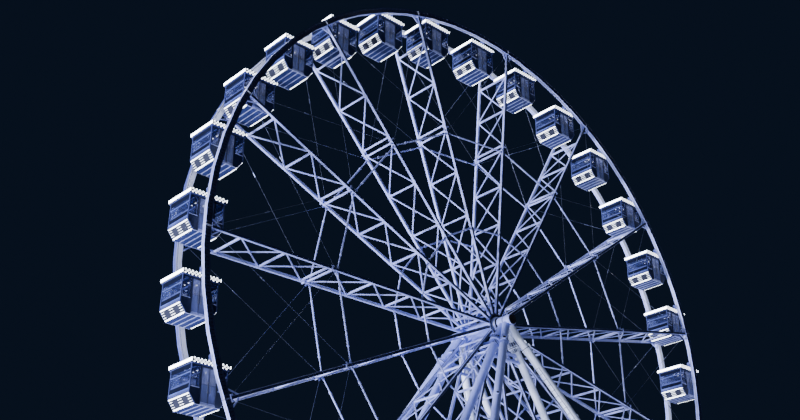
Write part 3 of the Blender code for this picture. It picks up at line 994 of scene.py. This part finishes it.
def crossbars(side):
    """Two round bars with webs between the inner legs, under the head; their ends die into the legs."""
    work = Shape()
    r = CROSSBAR_R
    collar = ((0, r), (0.01, r + 0.03), (0.04, r + 0.03), (0.05, r))
    rows = []
    for z in CROSSBAR_Z:
        share = (HUB.z - z) / HUB.z
        x = FOOT_X * share
        y = side * (INNER_ARM_Y + (INNER_FOOT_Y - INNER_ARM_Y) * share)
        work.tube((-x, y, z), (x, y, z), r, "head_paint", 16)
        rows.append((y, z))
        for s in (-1, 1):
            work.turned((s * (x - 0.34), y, z), (s, 0, 0), collar, 14, "head_paint")
    for x in WEB_X:
        high, low = [(x, y, z) for y, z in rows]
        work.beam(high, low, 0.10, 0.05, "head_paint", up=Y)
    return work


def girder(work, start, end, wide, high):
    """A box girder with wide flanges, web plates and stiffeners every metre or so."""
    start = Vector(start)
    end = Vector(end)
    along = (end - start).normalized()
    side = Z.cross(along)
    t = 0.035
    lift = Z * (high / 2)
    for z in (t / 2, high - t / 2):
        work.beam(start + Z * z, end + Z * z, wide, t, "base_grey", cut=0.006)
    for s in (-1, 1):
        shift = lift + side * (s * (wide / 2 - 0.13))
        work.beam(start + shift, end + shift, 0.03, high - 2 * t, "base_grey", cut=0.003)
    for spot, way in ((start, along), (end, -along)):
        work.beam(spot + lift, spot + lift + way * 0.03, wide, high, "base_grey", cut=0.006)
    count = max(2, int((end - start).length / 1.1))
    half = along * 0.012
    for k in range(1, count):
        for s in (-1, 1):
            spot = start + (end - start) * (k / count) + lift + side * (s * (wide / 2 - 0.065))
            work.beam(spot - half, spot + half, 0.12, high - 2 * t, "base_grey", cut=0.003)


def base():
    """Two ground girders under the feet and the tie under the wheel, with bolted plates where they meet."""
    work = Shape()
    low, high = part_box("base_frame")
    x = high.x - BEAM_W / 2
    reach = x - BEAM_W / 2
    tie_middle = TIE_BEAM_Z + 0.17
    lug = ((-0.09, 0), (0.09, 0), (0.05, 0.10), (-0.05, 0.10))
    anchor = ((0, 0.045), (0.03, 0.045), (0.03, 0.022), (0.12, 0.022))
    for s in (-1, 1):
        girder(work, (s * x, low.y, 0), (s * x, high.y, 0), BEAM_W, BEAM_H)
        for y in (-6.0, -0.9, 0.9, 6.0):
            for a in (-1, 1):
                spot = Vector((s * x + a * 0.30, y, BEAM_H))
                work.plate([spot + Vector((0, *p)) for p in lug], (0.03, 0, 0), "base_grey")
        for y in (low.y + 0.3, -5.0, 5.0, high.y - 0.3):
            for a in (-1, 1):
                work.turned((s * x + a * 0.37, y, BEAM_H), Z, anchor, 8, "bolt_zinc")
        inner = s * reach
        face = inner - s * 0.04
        work.beam((face, 0, tie_middle), (inner, 0, tie_middle), 0.78, 0.30, "base_grey")
        for y in (-0.33, -0.11, 0.11, 0.33):
            for z in (0.08, 0.28):
                work.bolt((face, y, z), (-s, 0, 0), 0.024, 0.03)
    girder(work, (-reach, 0, TIE_BEAM_Z), (reach, 0, TIE_BEAM_Z), TIE_BEAM_W, TIE_BEAM_H)
    for s in (-1, 1):
        for y in (-1, 1):
            spot = Vector((s * reach, y * 0.30, 0.12))
            work.beam(spot, spot + Vector((-s * 1.5, 0, 0)), 0.06, 0.06, "base_grey")
    return work


# cabin

def plan_ring(half_x, half_y, z, corner):
    """A rectangle with rounded corners, seen from above."""
    ring = []
    for sx, sy, first in ((1, 1, 0), (-1, 1, 1), (-1, -1, 2), (1, -1, 3)):
        for k in range(4):
            a = (first + k / 3) * math.pi / 2
            x = sx * (half_x - corner) + corner * math.cos(a)
            y = sy * (half_y - corner) + corner * math.sin(a)
            ring.append(Vector((x, y, z)))
    return ring


def cabin_roof(work):
    """A shallow lid with lit bands on the sides and staggered rows of lamp dots front and rear."""
    x = ROOF_X - FASCIA
    y = ROOF_Y - FASCIA
    top = -HANG
    under = ROOF_UNDER
    rows = ((under, 0.0), (under + 0.01, 0.0), (top - 0.035, 0.0), (top - 0.012, 0.012), (top - 0.004, 0.06),
            (top, 0.30))
    looks = ["soffit", "dusk", "shell", "shell", "shell"]
    work.skin([plan_ring(x - inset, y - inset, z, 0.03) for z, inset in rows], lambda row, side: looks[row])
    work.skin([plan_ring(x - 0.012, y - 0.012, z, 0.03) for z in (under - 0.012, under + 0.002)], "soffit")
    for k in (-2, -1, 0, 1, 2):
        work.box((-0.62, k * 0.30 - 0.012, top - 0.003), (0.62, k * 0.30 + 0.012, top + 0.006), "shell")
    middle = (top + under) / 2 + BAND_LIFT
    rise = (ROOF_T - 0.03) / DOT_ROWS
    for s in (-1, 1):
        band = []
        for k in range(7):
            a = (k / 6 - 0.5) * math.pi
            band.append((s * (x - 0.004 + (FASCIA + 0.003) * math.cos(a)), middle + BAND_HALF * math.sin(a)))
        ends = (-y - 0.006, y + 0.006)
        work.skin([[(across, end, up) for across, up in band] for end in ends], "lamp_band")
        work.box((-x + 0.004, s * (y - 0.002), under + 0.004), (x - 0.004, s * (y + 0.008), top - 0.012),
                 "navy", cut=0.002)
        for row in range(DOT_ROWS):
            z = under + 0.014 + (row + 0.5) * rise
            shift = 0.25 if row % 2 else -0.25
            for k in range(DOTS):
                spot = ((k - (DOTS - 1) / 2 + shift) * DOT_PITCH, s * (y + 0.008), z)
                work.lens(spot, (0, s, 0), DOT_R, 0.018, "lamp")


def cabin_ceiling(work):
    """A dark lining with a lighter middle panel, pale edge trims and four small lamps."""
    z = ROOF_UNDER - 0.012
    x = BODY_X - 0.05
    y = BODY_Y - 0.05
    work.box((-x, -y, z - 0.010), (x, y, z), "soffit")
    work.box((-0.52, -0.60, z - 0.022), (0.52, 0.60, z - 0.008), "floor_panel")
    for s in (-1, 1):
        work.box((s * 0.53, -0.68, z - 0.045), (s * 0.57, 0.68, z - 0.006), "shell")
        work.box((-0.57, s * 0.62, z - 0.040), (0.57, s * 0.66, z - 0.006), "shell")
    work.box((-0.045, -0.66, z - 0.050), (0.045, 0.66, z - 0.018), "shell")
    rows = ((0, 0.042), (0.014, 0.038), (0.030, 0.026))
    for x in (-0.20, 0.20):
        for y in (-0.15, 0.15):
            work.turned((x, y, z - 0.018), -Z, rows, 12, ["shell", "lamp", "lamp"])


def cabin_posts(work):
    """A post at each corner, bent at the shoulder."""
    for sx in (-1, 1):
        for sy in (-1, 1):
            y = sy * (BODY_Y - POST / 2)
            top = (sx * (BODY_X - POST / 2), y, ROOF_UNDER)
            shoulder = (sx * (SHOULDER_X - POST / 2), y, SHOULDER_Z)
            foot = (sx * (FLOOR_X - POST / 2), y, FLOOR_Z + 0.02)
            work.beam(top, shoulder, POST, POST, "soffit", up=Y)
            work.beam(shoulder, foot, POST * 0.8, POST, "soffit", up=Y)


def cabin_sides(work):
    """The two long sides: header, trims across the window, and the bands and strip under the sill."""
    side_head = ROOF_UNDER - SIDE_LINTEL
    y = BETWEEN_POSTS
    wide = BODY_Y - POST * 0.6
    bands = ((BAND_Z, SIDE_SILL_Z + 0.01, "backing", 0.014), (STRIP_Z, BAND_Z, "trim", 0.022),
             (SHOULDER_Z, STRIP_Z, "soffit", 0.010))
    for s in (-1, 1):
        inner = s * (BODY_X - 0.045)
        outer = s * (BODY_X + 0.002)
        work.box((inner, -y, side_head), (outer, y, ROOF_UNDER), "backing")
        for z, look in ((GLAZING_Z, "trim"), (GLAZING_Z + LINTEL_TRIM, "navy")):
            work.box((inner, -y, z), (outer, y, z + LINTEL_TRIM), look)
        for low, high, look, proud in bands:
            work.box((s * (BODY_X - 0.04), -wide, low), (s * (BODY_X + proud), wide, high), look)
        pane = (s * (BODY_X - 0.026), -y, SIDE_SILL_Z)
        work.box(pane, (s * (BODY_X - 0.012), y, side_head), "glass", cut=0.001)
        rail = s * (BODY_X - 0.065)
        for z in GRAB_RAILS_Z:
            work.tube((rail, -y, z), (rail, y, z), 0.011, "bolt_zinc", 6)


def cabin_ends(work):
    """Front and rear: header, door jambs, and a pane with a solid panel below it on each side."""
    head = ROOF_UNDER - LINTEL
    jamb = DOOR_HALF + JAMB
    panel = ((jamb, FRONT_SILL_Z - 0.02), (BODY_X - POST + 0.03, FRONT_SILL_Z - 0.02),
             (SHOULDER_X - POST + 0.02, SHOULDER_Z), (FLOOR_X - POST + 0.03, FLOOR_Z + 0.03),
             (jamb, FLOOR_Z + 0.03))
    for s in (-1, 1):
        near, far = sorted((s * (BODY_Y - 0.045), s * (BODY_Y + 0.001)))
        work.box((-BODY_X + POST, near, head), (BODY_X - POST, far, ROOF_UNDER), "navy")
        for t in (-1, 1):
            work.box((t * DOOR_HALF, near, FLOOR_Z + 0.03), (t * jamb, far + 0.001, head), "navy")
            left, right = sorted((t * jamb, t * (BODY_X - POST + 0.02)))
            work.box((left, near, FRONT_SILL_Z - 0.015), (right, far, FRONT_SILL_Z + 0.015), "shell")
            pane = (left + 0.01, near + 0.006, FRONT_SILL_Z)
            work.box(pane, (right - 0.02, far - 0.012, head), "glass", cut=0.001)
            work.plate([(t * x, s * (BODY_Y - 0.02), z) for x, z in panel], (0, 0.03, 0), "navy")


def cabin_doors(work):
    """A glazed door front and rear with two leaves, a low kick plate and pull bars."""
    head = ROOF_UNDER - LINTEL
    foot = FLOOR_Z + 0.09
    panes = ((foot + 0.03, DOOR_RAIL_Z, "low_glass"), (DOOR_RAIL_Z, head - 0.02, "door_glass"))
    for s in (-1, 1):
        near, far = sorted((s * (BODY_Y - 0.042), s * (BODY_Y - 0.004)))
        for a, b in ((-DOOR_HALF + 0.004, -0.004), (0.004, DOOR_HALF - 0.004)):
            for low, high in ((a, a + STILE), (b - STILE, b)):
                work.box((low, near, foot), (high, far, head - 0.004), "seam")
            work.box((a, near, head - 0.030), (b, far, head - 0.004), "seam")
            work.box((a, near, foot), (b, far, foot + 0.05), "shell")
            work.box((a, near, DOOR_RAIL_Z - 0.02), (b, far, DOOR_RAIL_Z + 0.02), "seam")
            for low, high, look in panes:
                work.box((a + 0.02, near + 0.012, low), (b - 0.02, far - 0.012, high), look, cut=0.001)
        out = s * PULL_BAR_OUT
        low, high = PULL_BAR_Z
        for x in (-PULL_BAR_X, PULL_BAR_X):
            work.tube((x, out, low), (x, out, high), 0.012, "bolt_zinc", 8)
            for z in (low + 0.03, high - 0.03):
                work.tube((x, s * (BODY_Y - 0.01), z), (x, out, z), 0.008, "bolt_zinc", 6)
        near, far = sorted((s * (BODY_Y - 0.06), s * (BODY_Y + 0.002)))
        work.box((-DOOR_HALF, near, FLOOR_Z + 0.02), (DOOR_HALF, far, foot - 0.006), "shell")
        work.box((-DOOR_HALF, near + 0.005, foot - 0.006), (DOOR_HALF, far - 0.004, foot - 0.001), "tread")


def cabin_lamp_panels(work):
    """The inclined panels under the side windows: lit lines and short dashes round two dark squares."""
    for s in (-1, 1):
        shoulder = Vector((s * SHOULDER_X, 0, SHOULDER_Z))
        floor = Vector((s * FLOOR_X, 0, FLOOR_Z))
        down = floor - shoulder
        slope = down.length
        down.normalize()
        out = Vector((-down.z * s, 0, down.x * s))
        wide = BODY_Y - 0.03

        def spot(u, v, proud=0.0):
            """A point of the panel: u along the cabin's depth, v down the slope."""
            return shoulder + Y * u + down * v + out * proud

        back = [spot(-wide, 0.0), spot(wide, 0.0), spot(wide, slope), spot(-wide, slope)]
        work.skin([[p - out * 0.035 for p in back], [p - out * 0.004 for p in back]], "backing")
        first = FIRST_LINE
        last = slope - LAST_LINE
        high = first + SQUARE_CLEAR
        low = last - SQUARE_CLEAR
        for u in (-SQUARE_AT, SQUARE_AT):
            square = [spot(u - SQUARE_HALF, high), spot(u + SQUARE_HALF, high),
                      spot(u + SQUARE_HALF, low), spot(u - SQUARE_HALF, low)]
            work.skin([[p - out * 0.006 for p in square], [p + out * 0.006 for p in square]], "dusk")
        line = wide - 0.01
        for v, proud in ((first, -0.006), (last, -0.016)):
            work.capsule(spot(-line, v, proud), spot(line, v, proud), LINE_R, "lamp", 8)
        facing = (out + down * 0.7).normalized()
        beads = int(2 * wide / BEAD_PITCH)
        for k in range(beads):
            u = (k - (beads - 1) / 2) * BEAD_PITCH
            work.lens(spot(u, last + 0.012, -0.004), facing, BEAD_PITCH * 0.38, 0.036, "lamp")
        side_at = line - SIDE_DASH
        for k in range(DASHES):
            v = first + (k + 1) * (last - first) / (DASHES + 1)
            for u, half in ((-side_at, SIDE_DASH), (0.0, MIDDLE_DASH), (side_at, SIDE_DASH)):
                work.capsule(spot(u - half, v, -0.002), spot(u + half, v, -0.002), DASH_R, "dash")


def cabin_inside(work):
    """Floor, two facing bench seats and grab rails."""
    floor = FLOOR_Z + 0.06
    x = FLOOR_X - 0.02
    y = BODY_Y - 0.05
    work.box((-x, -y, floor - 0.02), (x, y, floor), "tread")
    z = SEAT_Z
    bench = ((0.44, z - 0.035), (0.45, z), (0.76, z - 0.015), (0.80, z + 0.02), (0.84, -1.20),
             (0.86, -1.18), (0.87, -1.22), (0.865, z - 0.04), (0.60, z - 0.07), (0.46, z - 0.06))
    for s in (-1, 1):
        for start, end in ((-SEAT_END, -0.01), (0.01, SEAT_END)):
            work.skin([[(s * x, y, z) for x, z in bench] for y in (start, end)], "seat")
        work.box((s * 0.50, -0.68, floor), (s * 0.53, 0.68, SEAT_Z - 0.06), "seam")
    for s in (-1, 1):
        for t in (-1, 1):
            x = s * 0.44
            y = t * SEAT_END
            work.tube((x, y, floor), (x, y, ROOF_UNDER - 0.01), 0.014, "bolt_zinc", 8)


def cabin_underside(work):
    """Four boards under the floor; a pale batten runs in each dark joint between them."""
    wide = FLOOR_X - 0.004
    y = BODY_Y - 0.004
    low = FLOOR_Z
    work.box((-wide, -y, low + 0.012), (wide, y, low + 0.04), "navy")
    pitch = (2 * FLOOR_X - 0.03) / BOARDS
    for k in range(BOARDS):
        x = -FLOOR_X + 0.015 + k * pitch
        board = (x + GROOVE / 2, -BODY_Y + 0.02, low)
        work.box(board, (x + pitch - GROOVE / 2, BODY_Y - 0.02, low + 0.014), "floor_panel")
        if k:
            batten = (x - BATTEN / 2, -BODY_Y + 0.01, low)
            work.box(batten, (x + BATTEN / 2, BODY_Y - 0.01, low + 0.014), "shell")
    for s in (-1, 1):
        work.box((-wide, s * (BODY_Y - 0.04), low), (wide, s * y, low + 0.03), "shell")


def cabin_hanger(work):
    """Rounded bearing plates, the beam across the roof and the stub shafts to the rims."""
    r = HANGER_R
    arc = [(r * math.cos(math.pi * k / 8), -0.05 + r * math.sin(math.pi * k / 8)) for k in range(9)]
    outline = [(r, -HANG - 0.04)] + arc + [(-r, -HANG - 0.04)]
    bearing = ((-0.08, 0.070), (0.012, 0.070), (0.02, 0.055))
    shaft = ((0.0, 0.045), (RIM_Y_IN - HANGER_OUT - SHAFT_GAP, 0.045))
    for s in (-1, 1):
        y = s * HANGER_IN
        face = s * HANGER_OUT
        work.skin([[(x, depth, z) for x, z in outline] for depth in (y, face)], "head_paint")
        work.turned((0, face, 0), (0, s, 0), bearing, 16, "head_paint")
        work.turned((0, face, 0), (0, s, 0), shaft, 14, "bolt_zinc")
        low, high = sorted((s * 0.56, y))
        for t in (-1, 1):
            work.bolt((t * 0.09, face, -0.16), (0, s, 0), 0.014, 0.014)
            x = t * 0.06
            web = ((x, low, -HANG), (x, high, -HANG), (x, y, -0.06), (x, s * 0.76, -0.06))
            work.plate(web, (0.012, 0, 0), "head_paint")
    work.box((-0.05, -HANGER_IN, -HANG - 0.002), (0.05, HANGER_IN, -HANG + 0.055), "head_paint")


def cabin_car():
    """One whole cabin, measured from its pivot."""
    work = Shape()
    for part in (cabin_roof, cabin_ceiling, cabin_posts, cabin_sides, cabin_ends, cabin_doors,
                 cabin_lamp_panels, cabin_inside, cabin_underside, cabin_hanger):
        part(work)
    return work.make("cabin_car")


# the whole object

def build_wheel():
    truss = spoke_truss()
    for k, node in enumerate(SPOKE_NODES):
        place = Matrix.Translation(HUB) @ Matrix.Rotation(-spoke_angle(k), 4, "Y")
        show(node + "_truss", truss, "wheel", (node,), place)
    for face, side in (("front", -1), ("rear", 1)):
        show(face + "_rim_ring", rim_ring(side), "wheel", (face + "_rim",))
        show(face + "_rim_lamps", rim_lamps(side), "wheel")
        show(face + "_pivot_blocks", pivot_blocks(side), "wheel")
        show(face + "_ties", ties(side), "wheel")
        show(face + "_rods", rods(side), "wheel")
    show("hub_drum", hub_drum(), "wheel", ("hub",))
    car = cabin_car()
    for name in CABINS:
        show(name + "_car", car, name, (name,), Matrix.Translation(PIVOTS[name]))


def build_support():
    show("axle_heads", heads(), "support", ("axle_and_heads",))
    for face, side_y in (("front", -1), ("rear", 1)):
        for hand, side_x in (("left", -1), ("right", 1)):
            for row, *leg in LEG_ROWS:
                node = face + "_" + row + "_" + hand + "_leg"
                # each side's legs take that side's colour with painted light
                piece = leg_piece(side_x, side_y, *leg, hand + "_leg_paint")
                show(node + "_tube", piece, "support", (node,))
        show(face + "_crossbars", crossbars(side_y), "support")
    show("base_girders", base(), "support", ("base_frame",))


# studio

def sun(name, heading, strength, colour, softness):
    data = bpy.data.lights.new(name, "SUN")
    data.energy = strength
    data.color = colour
    data.angle = math.radians(softness)
    obj = bpy.data.objects.new(name, data)
    obj.rotation_euler = Vector(heading).to_track_quat("-Z", "Y").to_euler()
    bpy.context.scene.collection.objects.link(obj)


def build_studio():
    world = bpy.data.worlds.new("studio")
    world.use_nodes = True
    sky = world.node_tree.nodes["Background"]
    sky.inputs["Color"].default_value = NIGHT
    sky.inputs["Strength"].default_value = 1.0
    bpy.context.scene.world = world
    sun("key", (0.95, -0.28, 0.26), 7.5, (0.84, 0.88, 1.0), 8)
    sun("flood", (0.85, -0.07, 0.52), 4.5, (0.84, 0.88, 1.0), 10)
    sun("back", (-0.45, -0.80, -0.40), 0.7, (0.80, 0.86, 1.0), 30)
    sun("fill", (0.66, 0.73, 0.16), 0.8, (0.80, 0.86, 1.0), 15)
    sun("uplight", (0.30, 0.14, 0.94), 2.2, (0.80, 0.85, 1.0), 20)
    finish("studio_floor", (0.62, 0.63, 0.66), (0.56, 0.57, 0.60), 0.75, patch=0.08, bump=0.02, streaks=0.0)
    floor = Shape()
    floor.skin([circle((0, 0, z), Z, FLOOR_R, 64) for z in (-0.004, -0.001)], "studio_floor")
    obj = bpy.data.objects.new("studio_floor", floor.make("studio_floor"))
    obj.visible_shadow = False
    bpy.context.scene.collection.objects.link(obj)


def build_camera():
    data = bpy.data.cameras.new("view")
    data.lens = LENS
    data.sensor_width = 36.0
    data.clip_end = 600.0
    obj = bpy.data.objects.new("view", data)
    obj.location = CAMERA_PLACE
    obj.rotation_euler = (CAMERA_TILT, 0.0, CAMERA_TURN)
    bpy.context.scene.collection.objects.link(obj)
    bpy.context.scene.camera = obj


build_camera()
make_finishes()
build_wheel()
build_support()
build_studio()
